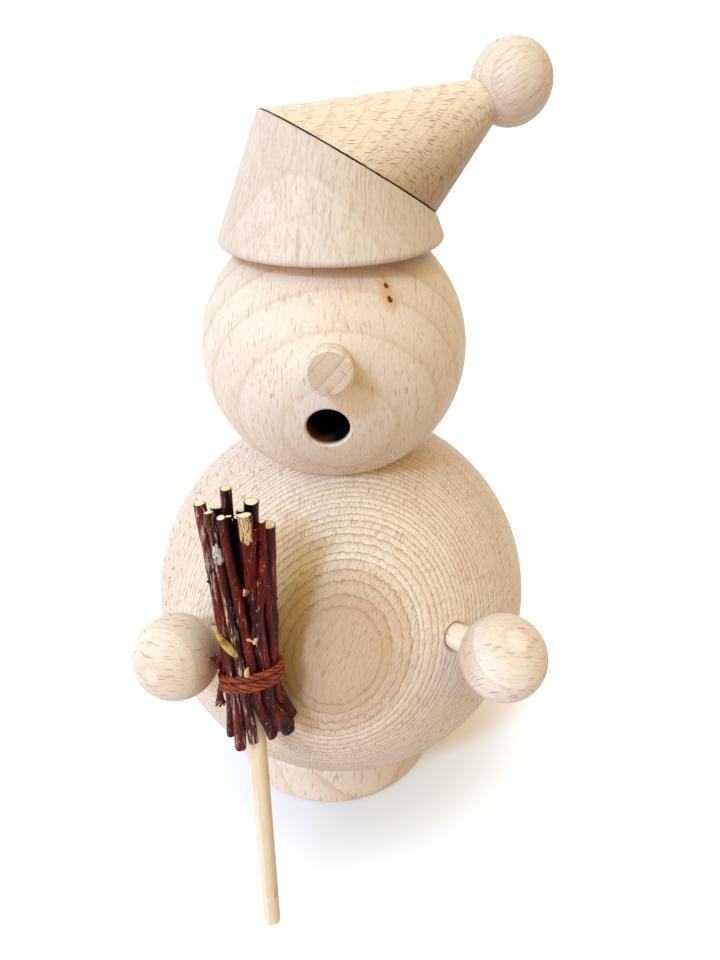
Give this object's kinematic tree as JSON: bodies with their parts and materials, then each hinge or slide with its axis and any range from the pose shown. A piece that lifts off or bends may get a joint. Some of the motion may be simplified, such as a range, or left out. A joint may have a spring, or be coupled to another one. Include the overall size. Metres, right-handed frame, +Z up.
{
  "type": "incense smoker",
  "caption": "Turned wooden snowman incense smoker: the figure lifts off its base to reach the incense tray, and smoke leaves through the open mouth.",
  "frame": {"origin": "on the figure's axis at the base's underside, on the table", "axes": "+Z up through base, body, head and hat; the figure faces -Y; +X is the figure's left"},
  "size_m": [0.065, 0.0749, 0.1237],
  "materials": {
    "beech": "raw turned and sanded beech",
    "beech_dark": "raw turned beech, yellower",
    "beech_dowel": "raw dowel",
    "bark": "dried birch twig bark",
    "cord": "twisted cord",
    "tray_metal": "pressed sheet"
  },
  "bodies": {
    "base": {"base_disc": "beech"},
    "tray": {"incense_tray": "tray_metal"},
    "figure": {"body_ball": "beech", "neck_sleeve": "beech", "head_ball": "beech", "nose_dowel": "beech_dowel", "hat_dowel": "beech_dowel", "hat_lower": "beech", "hat_bend_dowel": "beech_dowel", "hat_upper": "beech_dark", "pompom_dowel": "beech_dowel", "pompom_ball": "beech"},
    "left_hand": {"left_hand_peg": "beech_dowel", "left_hand_ball": "beech"},
    "right_hand": {"right_hand_peg": "beech_dowel", "right_hand_ball": "beech", "broom_handle": "beech_dowel", "broom_twig_01": "bark", "broom_twig_02": "bark", "broom_twig_03": "bark", "broom_twig_04": "bark", "broom_twig_05": "bark", "broom_twig_06": "bark", "broom_twig_07": "bark", "broom_twig_08": "bark", "broom_twig_09": "bark", "broom_twig_10": "bark", "broom_twig_11": "bark", "broom_twig_12": "bark", "broom_tie": "cord"}
  },
  "joints": [
    {"name": "figure_turn", "type": "hinge", "parent": "base", "child": "tray", "pos_m": [0, 0, 0.009], "axis": [0, 0, 1], "continuous": true},
    {"name": "figure_lift", "type": "slide", "parent": "tray", "child": "figure", "axis": [0, 0, 1], "range_m": [0, 0.06]},
    {"name": "left_hand_turn", "type": "hinge", "parent": "figure", "child": "left_hand", "pos_m": [0, 0, 0.0367], "axis": [0.5481, -0.7799, 0.3024], "continuous": true},
    {"name": "right_hand_turn", "type": "hinge", "parent": "figure", "child": "right_hand", "pos_m": [0, 0, 0.0367], "axis": [-0.5603, -0.7711, 0.3024], "range_deg": [0, 40]}
  ]
}
